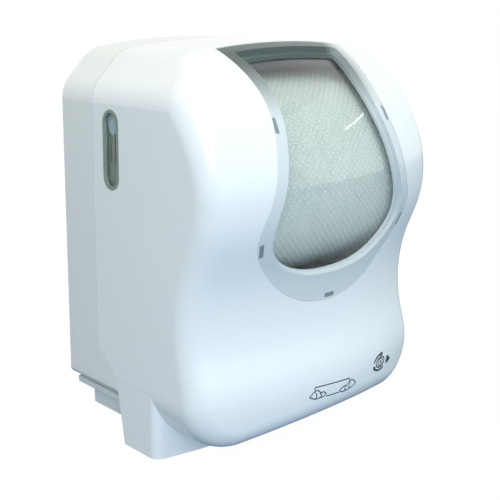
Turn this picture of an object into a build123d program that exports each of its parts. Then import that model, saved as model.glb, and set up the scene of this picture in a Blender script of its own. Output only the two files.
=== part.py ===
"""Hands-free roll-towel dispenser for a wall: a hinged cover with a window over a feed-and-cut drum.

Millimetres. X = 0 is the plane of symmetry and +X is the viewer's right, the face looks towards -Y,
the wall is the plane Y = 0 and Z is up. The origin is the middle of the four wall bolts, on the wall.
"""
from math import acos, atan2, cos, degrees, hypot, pi, radians, sin, tan
import os

from build123d import *

os.makedirs("parts", exist_ok=True)

# ------------------------------------------------------------------ cabinet: driving dimensions
CROWN_Z = 188.0  # top of the cabinet above the middle of the wall bolts
FOOT_Z = -180.0  # underside of the feet
DEPTH = 232.0  # wall to the fullest point of the face
FOOT_HALF = 149.0  # half width across the feet
SHOULDER = (FOOT_HALF - 7.0, 147.0)  # top end of the side face, before the bevel
BEVEL_TOP = (FOOT_HALF - 40.0, 179.5)  # where the bevel meets the arched top
SHOULDER_R = 30.0
BEVEL_TOP_R = 32.0
CHIN_Z = -174.0  # underside of the bulging face where it would meet the side faces
CHIN_RISE = 17.0  # the underside arches up this much at the middle
CHIN_CORNER_R = 48.0  # lower corners of the bulge, seen from the front
EDGE_R = 26.0  # rounding between the face and the sides
WALL = 3.0  # moulded wall thickness
FIT_GAP = 0.3  # between mouldings that only lie beside each other
SWING_GAP = 0.6  # between mouldings that move past each other

# face line in the plane of symmetry, as (Y, Z)
CREST = (120.0 - DEPTH, 193.0)
BROW = (51.0 - DEPTH, 163.5)
FOREHEAD = (18.0 - DEPTH, 124.0)
BELLY = (-DEPTH, 47.0)
WAIST = (23.5 - DEPTH, -31.0)
CHIN = (14.7 - DEPTH, -110.0)
HEM = (19.0 - DEPTH, -186.0)

FACE_LINE = [CREST, BROW, FOREHEAD, BELLY, WAIST, CHIN, HEM]
FACE_STEPS = 12

CROWN_AXIS_Y = 178.0  # the face is turned about a vertical axis this far behind the wall
CROWN_SWEEP = 100.0  # degrees of turning, wider than the cabinet
CROWN_CORE = 40.0  # inner radius of the turned blank, behind the wall

FOOT_FRONT_Y = 78.0 - DEPTH  # front of the feet, carried to the plane of symmetry
FOOT_CROWN_R = 585.0
FOOT_INNER_HALF = FOOT_HALF - 57.0  # inner edge of each foot
FOOT_SET = 0.2  # the feet's outer faces stand in this much from the side faces above
FOOT_TOP_Z = -100.0  # the feet run up inside the bulge to here
FOOT_EDGE_R = 10.0

# parting line between the fixed housing and the cover, as (Y, Z)
PARTING_Y = -48.0
KNEE_Z = -93.0
HEEL = (-75.5, -115.0)
FOOT_REAR_Y = -88.0
HOUSING_Z = -134.0  # bottom edge of the housing's side walls
HOUSING_CORNER_R = 6.0
PARTING_GAP = 0.8
LIP_DEPTH = 5.0
LIP_WALL = 2.0

# ------------------------------------------------------------------ windows and lock: driving dimensions
WINDOW_REAR = DEPTH - 92.0  # the window opening ends this far from the wall
WINDOW_STEPS = 32
WINDOW_TOP = 230.0  # height to which the window's outline is carried, above the cabinet
WINDOW_HALF = [
    (0, -42.0), (28.0, -38.5), (52.0, -29.0), (86.0, 2.0), (98.0, 27.0),
    (89.5, 60.0), (78.0, 104.0), (71.5, 138.0), (73.0, 160.0), (79.0, 184.0),
]
LENS_HALF = [
    (0, -11.0), (26.0, -9.5), (45.0, -5.0), (66.0, 6.0), (77.0, 20.0), (79.0, 38.0),
    (73.0, 62.0), (62.0, 105.0), (55.5, 140.0), (56.0, 160.0), (60.0, 178.0),
]
LENS_REAR = DEPTH - 78.0  # the clear lens ends this far from the wall
FRAME_SET = 0.6  # the frame's rim lies this far below the face
FLANGE_OVERLAP = 4.0
FLANGE_BACK = 5.0  # depth of the flange's back below the face
LEDGE_BACK = 8.0  # depth of the ledge that carries the lens
LEDGE_WALL = 2.4
LENS_THICK = 2.0
LENS_OVERLAP = 4.0

CLIP_WIDTH = 4.0
CLIP_LENGTH = 12.5
CLIPS = [(73.4, 122.6, 4.0), (94.0, 20.0, -12.0), (0.0, -40.0, 90.0)]  # (X, Z, turn) on the window's edge
CLIP_INSET = 2.2

CAPSULE = (-75.5, 95.2)  # middle of each side lens, as (Y, Z)
CAPSULE_WIDTH = 23.0
CAPSULE_HEIGHT = 71.0
BEZEL_RIM = 3.0
BEZEL_PROUD = 0.4
BEZEL_FLANGE = 2.0
SIDE_LENS_SET = 1.5  # depth of the side lens below the side face
SIDE_LENS_THICK = 2.0
SIDE_LENS_SEAT = 1.3

LOCK = (-66.0, 20.0)  # lock axis on the right side wall, as (Y, Z)
LOCK_R = 9.0
LOCK_FLANGE_R = 12.0
LOCK_FLANGE = 1.5
LOCK_LENGTH = 15.0  # from the cover's outer face inwards
LOCK_NUT = 4.0
BARREL_R = 5.0
KEY_SLOT = 1.2
CAM_THICK = 2.0
CAM_HUB_R = 7.0
STRIKE_REACH = 24.0  # lock axis to strike pin
STRIKE_R = 2.5
STRIKE_CLEAR = 0.5
HOOK_WIDTH = 6.0
HOOK_ARC = (82.0, 118.0)  # the hook stands clear of the strike pin here, and catches it a quarter turn back
HOOK_ARM_LEAD = 6.0  # degrees from the end of the hook back to the middle of its arm
CAM_SCREW_R = 3.5

# ------------------------------------------------------------------ hinge and mounts: driving dimensions
RUN_GAP = 0.05  # radial running clearance of a shaft in its bore
HINGE = (-93.0, -146.0)  # cover hinge axis, as (Y, Z)
HINGE_PIN_R = 4.0
HINGE_BOSS_R = 9.0
HINGE_BOSS_LENGTH = 12.0

MOUNT_X = 190.0  # wall bolt spacing
MOUNT_Z = 220.0
MOUNT_HOLE_R = 2.75
MOUNT_BOSS_R = 9.0
MOUNT_BOSS_H = 4.0

LIP_FOOT_Z = -20.0  # the lip runs round the top and down the sides to here
LIP_ROOT = 8.0

# ------------------------------------------------------------------ roll and roll arms: driving dimensions
ROLL_REAR = 20.0  # room behind the roll for the arm pins
ROLL_FRONT = 22.0  # room before the roll, to the fullest point of the face
ROLL_R = (DEPTH - ROLL_REAR - ROLL_FRONT) / 2
ROLL = (-ROLL_REAR - ROLL_R, 62.0)  # roll axis, as (Y, Z)
ROLL_HALF = FOOT_HALF - 50.5
CORE_R = 20.05
CORE_WALL = 1.0
ARM_PIN = (ROLL_HALF + 7.5, -13.0)  # upright pin of each roll arm, as (X, Y)
ARM_PIN_R = 2.5
ARM_BARREL_R = 6.0
ARM_Z = (37.0, 145.0)
ARM_THICK = 4.0
ARM_HEAD_R = 16.0
ARM_KNEE_Y = -60.0
EAR_THICK = 6.0
EAR_HALF = 6.0
EAR_GAP = 1.0
HUB_FLANGE_R = 26.0
HUB_FLANGE = 3.2
HUB_SIDE_GAP = 0.6
HUB_PLUG = 11.7
HUB_PLUG_R = 18.7
HUB_NOSE_R = 15.0
HUB_AXLE_R = 4.0

# ------------------------------------------------------------------ feed and cut drum: driving dimensions
CHASSIS_OUTER = FOOT_HALF - 7.0  # outer face of the chassis side plates
CHASSIS_PLATE = 3.5
CHASSIS_INNER = CHASSIS_OUTER - CHASSIS_PLATE
HINGE_BOSS_INNER = CHASSIS_OUTER - HINGE_BOSS_LENGTH
CHASSIS_STEP = 2.5  # the rail above the skirt stands out this much
CHASSIS_BACK = 3.0
RAIL_Y = (-79.0, -8.0)
RAIL_Z = (-142.0, -136.0)
SKIRT_Z = -157.0  # lower edge of the chassis plates
PLATE_TOP_Z = -24.0
PLATE_FRONT_Y = -136.0
PLATE_TOE_Y = -129.0
BACK_PLATE_Z = (-130.0, -34.0)

DRUM = (-100.0, -88.0)  # drum axis, as (Y, Z)
DRUM_R = 46.0
DRUM_WALL = 2.5
DRUM_HALF = ROLL_HALF + 4.5
DRUM_END = 3.0
SHAFT_R = 5.0
BUSH_R = 8.0
BUSH_FLANGE_R = 11.0
BUSH_FLANGE = 1.5
GRIP_THICK = 1.5
GRIP_WIDTH = 12.0
GRIP_COUNT = 5
GRIP_PITCH = 2 * (DRUM_HALF - DRUM_END) / GRIP_COUNT
SLOT = (-8.0, 7.0)  # knife slot along the top of the drum, in Y from the drum axis
SLOT_INSET = 6.0  # from each end of the drum to the slot
SLOT_HALF = DRUM_HALF - SLOT_INSET

KNIFE = (-20.0, DRUM_R - 16.0)  # knife pivot from the drum axis
KNIFE_BARREL_R = 5.0
KNIFE_PIN_R = 2.0
KNIFE_REACH = 23.0
KNIFE_END = 2.0  # end clearance of the holder in the slot
KNIFE_LEAN = 29.9  # degrees above level, knife drawn in
BLADE_THICK = 1.0
HOLDER_THICK = 4.0
HOLDER_REACH = 14.0

CRANK_X = (-DRUM_HALF - 4.0, -DRUM_HALF - 1.5)
CRANK_HUB_R = 4.0
FOLLOWER_ORBIT = DRUM_R - 20.0
FOLLOWER_R = 2.5
FOLLOWER_LENGTH = 4.5
CAM_X_GAP = 1.5
KNIFE_CAM_THICK = 5.5
CAM_LIFT = 5.0
CAM_LOBE_R = 9.0
CAM_LOBE_TURN = -35.0  # the knife is pushed out here, in degrees from +Y

WHEEL_X = (CHASSIS_INNER - 20.5, CHASSIS_INNER - 8.5)
WHEEL_R = DRUM_R - 4.0
WHEEL_HUB_R = 11.0
RATCHET_X = (WHEEL_X[0] - 6.5, WHEEL_X[0] - 1.0)
RATCHET_R = 36.0
RATCHET_TEETH = 24
TOOTH_DEPTH = 3.0
TOOTH_WIDTH = 5.0
FLUTE_DEPTH = 1.5
SPRING_CUP_R = 22.0
SPRING_CUP_WALL = 2.0

WEB_THICK = 0.4
WEB_GAP = 0.3
WEB_HALF = ROLL_HALF - 0.5
WEB_END = (-128.0, -158.0)  # where the towel is pulled off, as (Y, Z)

PINCH_ROD = (-28.0, -96.0)
PINCH_ROD_R = 3.0
PINCH_ANGLE = -30.0  # the rollers press on the drum here, in degrees from +Y
PINCH_R = 8.0
PINCH_SHAFT_R = 3.0
PINCH_ARM_X = (DRUM_HALF + 3.0, DRUM_HALF + 7.0)
PINCH_HUB_R = 7.0
PINCH_ARM_HALF = 4.5
PINCH_SHAFT_END = 2.0
PINCH_WIDTH = 24.0
SPREADER_R = 2.5
COIL_R = 5.0
COIL_X = (DRUM_HALF + 8.0, DRUM_HALF + 16.0)

TRANSFER_PIVOT = (-16.0, -40.0)
TRANSFER_BAR = (-33.0, -62.0)
TRANSFER_R = 3.0
TRANSFER_HUB_R = 5.0
TRANSFER_PIN_R = 2.5
TRANSFER_ARM_X = (DRUM_HALF - 3.0, DRUM_HALF + 1.0)

PAWL_PIVOT = (-52.0, -58.0)
PAWL_PIN_R = 2.0
PAWL_HUB_R = 5.0

CHUTE_GAP = 1.6
CHUTE_THICK = 2.0
CHUTE_LOWER = (4.0, 52.0)
CHUTE_WING = 36.0  # from here on the lower guide reaches the side plates
CHUTE_UPPER = (34.0, 56.0)
CHUTE_HALF = CHASSIS_OUTER - 13.0

SCREW_R = 2.0
SCREW_HEAD_R = 4.0
SCREW_HEAD = 2.5
SCREW_GRID = (120.0, 70.0)
SCREW_MID_Z = -82.0

# ------------------------------------------------------------------ forms
SIDE_TAPER = (FOOT_HALF - SHOULDER[0]) / (SHOULDER[1] - FOOT_Z)
CROWN_PLANE = Plane(
    origin=(0, CROWN_AXIS_Y, 0),
    x_dir=(-sin(radians(CROWN_SWEEP / 2)), -cos(radians(CROWN_SWEEP / 2)), 0),
    z_dir=(-cos(radians(CROWN_SWEEP / 2)), sin(radians(CROWN_SWEEP / 2)), 0),
)
CROWN_AXIS = Axis((0, CROWN_AXIS_Y, 0), (0, 0, 1))


def side_half(z):
    """Half width of the tapering side faces at height z."""
    return FOOT_HALF - (z - FOOT_Z) * SIDE_TAPER


def radial(y):
    """Radius about the crown axis of a point in the plane of symmetry."""
    return CROWN_AXIS_Y - y


def elevation(inset, bottom_z, corner_r, rise=0.0):
    """Outline of the cabinet seen from the front, pulled in by inset, its bottom arched up by rise."""
    shoulder = (SHOULDER[0] - inset, SHOULDER[1] - inset * tan(radians(22.5)))
    bevel_top = (BEVEL_TOP[0] - inset * tan(radians(27)), BEVEL_TOP[1] - inset)
    foot_half = side_half(bottom_z + inset) - inset
    with BuildSketch(Plane.XZ) as outline:
        with BuildLine():
            right = Line((foot_half, bottom_z + inset), shoulder)
            bevel = Line(right @ 1, bevel_top)
            top = ThreePointArc(bevel @ 1, (0, CROWN_Z - inset), (-bevel_top[0], bevel_top[1]))
            left_bevel = Line(top @ 1, (-shoulder[0], shoulder[1]))
            left = Line(left_bevel @ 1, (-foot_half, bottom_z + inset))
            if rise > 0:
                ThreePointArc(left @ 1, (0, bottom_z + inset + rise), right @ 0)
            else:
                Line(left @ 1, right @ 0)
        make_face()
        corners = ((bevel_top[1], BEVEL_TOP_R), (shoulder[1], SHOULDER_R), (bottom_z + inset, corner_r))
        for corner_z, radius in corners:
            fillet([v for v in outline.vertices() if abs(v.Y - corner_z) < 0.01], radius - inset)
    return outline.sketch


def face_line(inset):
    """The face in the plane of symmetry, as (radius, Z) points pulled in by inset."""
    through = [(radial(y), z) for y, z in FACE_LINE]
    line = Spline(*through, tangents=[(1, -0.1), (-0.05, -1)], mode=Mode.PRIVATE)
    points = []
    for step in range(FACE_STEPS + 1):
        at = line.position_at(step / FACE_STEPS)
        along = line.tangent_at(step / FACE_STEPS)
        points.append((at.X + along.Y * inset, at.Y - along.X * inset))
    return points


def bulge_form(inset):
    """The crowned face cut to the front outline, with its rim rounded, pulled in by inset."""
    with BuildPart() as form:
        points = face_line(inset)
        with BuildSketch(CROWN_PLANE):
            with BuildLine():
                face = Spline(*points)
                Polyline(face @ 1, (CROWN_CORE, points[-1][1]), (CROWN_CORE, points[0][1]), face @ 0)
            make_face()
        revolve(axis=CROWN_AXIS, revolution_arc=CROWN_SWEEP)
        outline = elevation(inset, CHIN_Z, CHIN_CORNER_R, CHIN_RISE)
        extrude(outline, amount=DEPTH + WALL, mode=Mode.INTERSECT)
        rim = form.edges().filter_by(lambda edge: edge.geom_type != GeomType.LINE)
        fillet(rim.filter_by(lambda edge: edge.center().Y < PARTING_Y), EDGE_R - inset)
    return form.part


def foot_form(inset):
    """The two feet as one pair of blocks, with crowned fronts, pulled in by inset at the outside."""
    inner = 0 if inset else FOOT_INNER_HALF
    bottom = FOOT_Z - inset
    half_bottom = side_half(bottom) - FOOT_SET - inset
    half_top = side_half(FOOT_TOP_Z) - FOOT_SET - inset
    with BuildPart() as form:
        with BuildSketch(Plane.XY.offset(bottom)):
            with Locations((0, FOOT_FRONT_Y + FOOT_CROWN_R)):
                Circle(FOOT_CROWN_R - inset)
            with Locations((0, FOOT_FRONT_Y / 2)):
                Rectangle(3 * FOOT_HALF, -FOOT_FRONT_Y, mode=Mode.INTERSECT)
        extrude(amount=FOOT_TOP_Z - bottom)
        with BuildSketch(Plane.XZ):
            with BuildLine():
                outer_side = ((half_bottom, bottom), (half_top, FOOT_TOP_Z))
                Polyline((inner, bottom), *outer_side, (inner, FOOT_TOP_Z), close=True)
            make_face()
            mirror(about=Plane.YZ)
        extrude(amount=DEPTH, mode=Mode.INTERSECT)
        tall = (FOOT_TOP_Z - FOOT_Z) * 0.9
        upright = form.edges().filter_by(lambda edge: edge.bounding_box().size.Z > tall)
        front = upright.filter_by(lambda edge: edge.center().Y < PARTING_Y)
        outer = front.filter_by(lambda edge: abs(edge.center().X) > inner + WALL)
        fillet(outer, FOOT_EDGE_R - inset)
    return form.part


def side_panel(points, start_x, end_x):
    """A plate lying across X between start_x and end_x with the given (Y, Z) corners."""
    with BuildPart() as panel:
        with BuildSketch(Plane.YZ.offset(start_x)):
            with BuildLine():
                Polyline(*points, close=True)
            make_face()
        extrude(amount=end_x - start_x)
    return panel.part


def rod(radius, start_x, end_x, at, bore=0.0):
    """A round bar or tube along X from start_x to end_x, centred at (Y, Z)."""
    with BuildPart() as bar:
        with BuildSketch(Plane.YZ.offset(start_x)):
            with Locations(at):
                Circle(radius)
                if bore > 0:
                    Circle(bore, mode=Mode.SUBTRACT)
        extrude(amount=end_x - start_x)
    return bar.part


def parting_y(z):
    """Y of the parting line between housing and cover at height z."""
    if z >= KNEE_Z:
        return PARTING_Y
    if z >= HEEL[1]:
        return PARTING_Y + (HEEL[0] - PARTING_Y) * (z - KNEE_Z) / (HEEL[1] - KNEE_Z)
    return HEEL[0] + (FOOT_REAR_Y - HEEL[0]) * (z - HEEL[1]) / (FOOT_Z - HEEL[1])


def cabinet_side(setback, far_y, bottom_z):
    """Everything on one side of the parting line, setback in front of it, out to far_y."""
    line = [(parting_y(z) - setback, z) for z in (CROWN_Z + WALL, KNEE_Z, HEEL[1], bottom_z)]
    corners = [*line, (far_y, bottom_z), (far_y, CROWN_Z + WALL)]
    return side_panel(corners, -FOOT_HALF - WALL, FOOT_HALF + WALL)


def slab(x_span, y_span, z_span):
    """A box between the given limits in X, Y and Z."""
    with BuildPart() as box:
        with BuildSketch(Plane.XY.offset(z_span[0])):
            with Locations((sum(x_span) / 2, sum(y_span) / 2)):
                Rectangle(abs(x_span[1] - x_span[0]), abs(y_span[1] - y_span[0]))
        extrude(amount=z_span[1] - z_span[0])
    return box.part


def post(radius, at, z_span, bore=0.0):
    """An upright round bar or tube centred at (X, Y)."""
    with BuildPart() as bar:
        with BuildSketch(Plane.XY.offset(z_span[0])):
            with Locations(at):
                Circle(radius)
                if bore > 0:
                    Circle(bore, mode=Mode.SUBTRACT)
        extrude(amount=z_span[1] - z_span[0])
    return bar.part


def peg(radius, at, y_span, bore=0.0):
    """A round bar or tube square to the wall, centred at (X, Z), running forwards between two depths."""
    with BuildPart() as bar:
        with BuildSketch(Plane.XZ.offset(y_span[0])):
            with Locations(at):
                Circle(radius)
                if bore > 0:
                    Circle(bore, mode=Mode.SUBTRACT)
        extrude(amount=y_span[1] - y_span[0])
    return bar.part


def strip_panel(start, heading, run, across, x_span):
    """A flat strip leaving start along heading, between two runs and two offsets, across x_span."""
    ahead = (cos(heading), sin(heading))
    aside = (-ahead[1], ahead[0])
    corners = ((run[0], across[0]), (run[1], across[0]), (run[1], across[1]), (run[0], across[1]))
    points = [
        (start[0] + ahead[0] * u + aside[0] * v, start[1] + ahead[1] * u + aside[1] * v) for u, v in corners
    ]
    return side_panel(points, *x_span)


def window_side(half_outline, growth):
    """Points along a window outline from its upper left round to its upper right, grown sideways."""
    mirrored = [(-x, z) for x, z in half_outline[1:]]
    line = Spline(*mirrored[::-1], *half_outline, mode=Mode.PRIVATE)
    points = []
    for step in range(WINDOW_STEPS + 1):
        at = line.position_at(step / WINDOW_STEPS)
        along = line.tangent_at(step / WINDOW_STEPS)
        points.append((at.X + along.Y * growth, at.Y - along.X * growth))
    return points


def window_prism(half_outline, rear, growth=0.0):
    """Block through the face with a window outline, starting at depth rear, grown sideways by growth."""
    with BuildPart() as prism:
        with BuildSketch(Plane.XZ.offset(rear - growth)):
            with BuildLine():
                side = Spline(*window_side(half_outline, growth))
                Polyline(side @ 1, ((side @ 1).X, WINDOW_TOP), ((side @ 0).X, WINDOW_TOP), side @ 0)
            make_face()
        extrude(amount=DEPTH)
    return prism.part


# ------------------------------------------------------------------ fixed housing
def housing_shell():
    """Back wall, top and sides of the housing, cut along the parting line and open below."""
    with BuildPart() as shell:
        extrude(elevation(0, HOUSING_Z, HOUSING_CORNER_R), amount=DEPTH / 2)
        extrude(elevation(WALL, HOUSING_Z - 4 * WALL, HOUSING_CORNER_R), amount=DEPTH / 2, mode=Mode.SUBTRACT)
        extrude(elevation(0, HOUSING_Z, HOUSING_CORNER_R), amount=WALL)
        add(cabinet_side(-PARTING_GAP / 2, WALL, HOUSING_Z - WALL), mode=Mode.INTERSECT)
    return shell.part


def housing_lip():
    """Lip that locates the closed cover, standing inside its top and side walls."""
    inner = WALL + SWING_GAP + LIP_WALL
    with BuildPart() as lip:
        extrude(elevation(WALL + SWING_GAP, LIP_FOOT_Z, HOUSING_CORNER_R), amount=-PARTING_Y + LIP_DEPTH)
        extrude(elevation(WALL, LIP_FOOT_Z, HOUSING_CORNER_R), amount=-PARTING_Y - PARTING_GAP / 2)
        extrude(elevation(inner, LIP_FOOT_Z - 4 * WALL, 2 * inner), amount=DEPTH, mode=Mode.SUBTRACT)
        rear = (PARTING_Y + LIP_ROOT, WALL)
        add(slab((-FOOT_HALF, FOOT_HALF), rear, (FOOT_Z, CROWN_Z)), mode=Mode.SUBTRACT)
    return lip.part


def ears(side):
    """Upper and lower ears that hold one roll arm's pin, on the housing's back wall."""
    x_span = (side * ARM_PIN[0] - EAR_HALF, side * ARM_PIN[0] + EAR_HALF)
    y_span = (ARM_PIN[1] - EAR_HALF, -WALL)
    with BuildPart() as pair:
        add(slab(x_span, y_span, (ARM_Z[0] - EAR_GAP - EAR_THICK, ARM_Z[0] - EAR_GAP)))
        add(slab(x_span, y_span, (ARM_Z[1] + EAR_GAP, ARM_Z[1] + EAR_GAP + EAR_THICK)))
        pin_hole = post(ARM_PIN_R, (side * ARM_PIN[0], ARM_PIN[1]), (FOOT_Z, CROWN_Z))
        add(pin_hole, mode=Mode.SUBTRACT)
    return pair.part


STRIKE = (LOCK[0] + STRIKE_REACH, LOCK[1])
LOCK_FACE = side_half(LOCK[1])  # outer face of the side wall at the lock
LOCK_INNER = LOCK_FACE - LOCK_LENGTH
CAM_SPAN = (LOCK_INNER - CAM_THICK, LOCK_INNER)
STRIKE_SPAN = (CAM_SPAN[0] - WALL, side_half(STRIKE[1]) - WALL + RUN_GAP)

with BuildPart() as rear_housing:
    add(housing_shell())
    add(housing_lip())
    add(ears(1))
    add(ears(-1))
    with BuildSketch(Plane.XZ.offset(WALL)):
        with GridLocations(MOUNT_X, MOUNT_Z, 2, 2):
            Circle(MOUNT_BOSS_R)
    extrude(amount=MOUNT_BOSS_H)
    with BuildSketch(Plane.XZ):
        with GridLocations(MOUNT_X, MOUNT_Z, 2, 2):
            Circle(MOUNT_HOLE_R)
    extrude(amount=WALL + MOUNT_BOSS_H, mode=Mode.SUBTRACT)
    with BuildSketch(Plane.XZ.offset(WALL / 2)):
        with Locations((0, SCREW_MID_Z)):
            with GridLocations(*SCREW_GRID, 2, 2):
                Circle(SCREW_R)
    extrude(amount=WALL, mode=Mode.SUBTRACT)
    add(rod(STRIKE_R, *STRIKE_SPAN, STRIKE), mode=Mode.SUBTRACT)
rear_housing.part.label = "rear_housing"
export_step(rear_housing.part, "parts/rear_housing.step")

with BuildPart() as arm_pins:
    for side in (-1, 1):
        pin_span = (ARM_Z[0] - EAR_GAP - EAR_THICK, ARM_Z[1] + EAR_GAP + EAR_THICK)
        add(post(ARM_PIN_R, (side * ARM_PIN[0], ARM_PIN[1]), pin_span))
arm_pins.part.label = "arm_pins"
export_step(arm_pins.part, "parts/arm_pins.step")

with BuildPart() as strike_pin:
    add(rod(STRIKE_R, *STRIKE_SPAN, STRIKE))
strike_pin.part.label = "strike_pin"
export_step(strike_pin.part, "parts/strike_pin.step")

# ------------------------------------------------------------------ cover
FACE = bulge_form(0)
FACE_BACK = bulge_form(WALL)
COVER_SIDE = cabinet_side(PARTING_GAP / 2, -DEPTH - WALL, FOOT_Z - WALL)


def capsule_plane(side):
    """Plane on one side face at the middle of its lens, looking outwards, with local Y upwards."""
    return Plane(
        origin=(side * side_half(CAPSULE[1]), CAPSULE[0], CAPSULE[1]),
        x_dir=(0, side, 0),
        z_dir=(side, 0, SIDE_TAPER),
    )


def capsule(side, growth, depth_span):
    """Capsule-shaped plate parallel to a side face between two depths, grown from the lens opening."""
    with BuildPart() as plate:
        with BuildSketch(capsule_plane(side).offset(-depth_span[0])):
            SlotOverall(CAPSULE_HEIGHT + 2 * growth, CAPSULE_WIDTH + 2 * growth, rotation=90)
        extrude(amount=depth_span[0] - depth_span[1])
    return plate.part


with BuildPart() as cover_shell:
    add(FACE)
    add(foot_form(0))
    add(FACE_BACK, mode=Mode.SUBTRACT)
    add(foot_form(WALL), mode=Mode.SUBTRACT)
    add(COVER_SIDE, mode=Mode.INTERSECT)
    add(window_prism(WINDOW_HALF, WINDOW_REAR), mode=Mode.SUBTRACT)
    hinge_wall = side_half(HINGE[1])
    for side in (-1, 1):
        add(capsule(side, 0, (-WALL, 2 * WALL)), mode=Mode.SUBTRACT)
        boss_span = (side * (CHASSIS_OUTER + SWING_GAP), side * (hinge_wall - WALL / 2))
        add(rod(HINGE_BOSS_R, *boss_span, HINGE))
        bore_span = (side * CHASSIS_OUTER, side * (hinge_wall - WALL / 2 + FIT_GAP))
        add(rod(HINGE_PIN_R + RUN_GAP, *bore_span, HINGE), mode=Mode.SUBTRACT)
    add(rod(LOCK_R, LOCK_INNER, LOCK_FACE + WALL, LOCK), mode=Mode.SUBTRACT)
cover_shell.part.label = "cover_shell"
export_step(cover_shell.part, "parts/cover_shell.step")

FRAME_BLOCK = window_prism(WINDOW_HALF, WINDOW_REAR, -FIT_GAP)
FLANGE_BLOCK = window_prism(WINDOW_HALF, WINDOW_REAR, FLANGE_OVERLAP)
LENS_BLOCK = window_prism(LENS_HALF, LENS_REAR, LENS_OVERLAP)
OPENING_BLOCK = window_prism(LENS_HALF, LENS_REAR)
LEDGE_BLOCK = window_prism(LENS_HALF, LENS_REAR, LENS_OVERLAP + LEDGE_WALL)
FLANGE_FORM = bulge_form(FLANGE_BACK)
LEDGE_FORM = bulge_form(LEDGE_BACK)


def clip_blocks(inset):
    """Blocks through the face for the clips on the window's edge, pulled in by inset."""
    with BuildPart() as blocks:
        with BuildSketch(Plane.XZ.offset(WINDOW_REAR)):
            for x, z, turn in CLIPS:
                pair = [(x - CLIP_INSET, z, turn), (CLIP_INSET - x, z, -turn)]
                for at_x, at_z, angle in pair if x else [(x, z + CLIP_INSET, turn)]:
                    with Locations(Location((at_x, at_z, 0), (0, 0, angle))):
                        Rectangle(CLIP_WIDTH - 2 * inset, CLIP_LENGTH - 2 * inset)
        extrude(amount=DEPTH)
    return blocks.part


def layer_between(front, back, block, hole=None):
    """The layer of the face between two forms, inside one block and outside another."""
    with BuildPart() as layer:
        add(block)
        if hole is not None:
            add(hole, mode=Mode.SUBTRACT)
        add(front, mode=Mode.INTERSECT)
        add(back, mode=Mode.SUBTRACT)
    return layer.part


RIM_FORM = bulge_form(FRAME_SET)
SEAT_FORM = bulge_form(WALL + FIT_GAP)

with BuildPart() as window_frame:
    add(layer_between(RIM_FORM, FLANGE_FORM, FRAME_BLOCK, LENS_BLOCK))
    add(layer_between(SEAT_FORM, FLANGE_FORM, FLANGE_BLOCK, LENS_BLOCK))
    add(layer_between(FLANGE_FORM, LEDGE_FORM, LEDGE_BLOCK, OPENING_BLOCK))
    add(layer_between(RIM_FORM, SEAT_FORM, clip_blocks(0)), mode=Mode.SUBTRACT)
window_frame.part.label = "window_frame"
export_step(window_frame.part, "parts/window_frame.step")

with BuildPart() as frame_clips:
    add(clip_blocks(FIT_GAP / 2))
    add(FRAME_BLOCK, mode=Mode.INTERSECT)
    add(RIM_FORM, mode=Mode.INTERSECT)
    add(SEAT_FORM, mode=Mode.SUBTRACT)
frame_clips.part.label = "frame_clips"
export_step(frame_clips.part, "parts/frame_clips.step")

with BuildPart() as window_lens:
    add(layer_between(LEDGE_FORM, bulge_form(LEDGE_BACK + LENS_THICK), LENS_BLOCK))
window_lens.part.label = "window_lens"
export_step(window_lens.part, "parts/window_lens.step")


def side_bezel(side):
    """Ring in one side face, with a flange behind the wall and a seat for the side lens."""
    flange_front = WALL + FIT_GAP
    back = flange_front + BEZEL_FLANGE
    with BuildPart() as ring:
        add(capsule(side, -FIT_GAP / 2, (-BEZEL_PROUD, back)))
        add(capsule(side, BEZEL_RIM, (flange_front, back)))
        add(capsule(side, -BEZEL_RIM, (-WALL, 2 * back)), mode=Mode.SUBTRACT)
        add(capsule(side, SIDE_LENS_SEAT - BEZEL_RIM, (SIDE_LENS_SET, 2 * back)), mode=Mode.SUBTRACT)
    return ring.part


def side_lens(side):
    """Clear plate seated in one side bezel."""
    depth_span = (SIDE_LENS_SET, SIDE_LENS_SET + SIDE_LENS_THICK)
    return capsule(side, SIDE_LENS_SEAT - BEZEL_RIM - FIT_GAP / 2, depth_span)


for side, hand in ((-1, "left"), (1, "right")):
    with BuildPart() as bezel:
        add(side_bezel(side))
    bezel.part.label = f"side_bezel_{hand}"
    export_step(bezel.part, f"parts/side_bezel_{hand}.step")
    with BuildPart() as small_lens:
        add(side_lens(side))
    small_lens.part.label = f"side_lens_{hand}"
    export_step(small_lens.part, f"parts/side_lens_{hand}.step")

# ------------------------------------------------------------------ lock in the right side wall
LOCK_SEAT = LOCK_FACE + FIT_GAP
LOCK_NOSE = LOCK_SEAT + LOCK_FLANGE
LOCK_NUT_FACE = LOCK_FACE - WALL - FIT_GAP

with BuildPart() as lock_body:
    add(rod(LOCK_R - RUN_GAP, LOCK_INNER + FIT_GAP, LOCK_SEAT, LOCK))
    add(rod(LOCK_FLANGE_R, LOCK_SEAT, LOCK_NOSE, LOCK))
    add(rod(BARREL_R + RUN_GAP, LOCK_INNER, LOCK_NOSE, LOCK), mode=Mode.SUBTRACT)
lock_body.part.label = "lock_body"
export_step(lock_body.part, "parts/lock_body.step")

with BuildPart() as lock_nut:
    add(rod(LOCK_FLANGE_R, LOCK_NUT_FACE - LOCK_NUT, LOCK_NUT_FACE, LOCK, bore=LOCK_R))
lock_nut.part.label = "lock_nut"
export_step(lock_nut.part, "parts/lock_nut.step")

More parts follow.
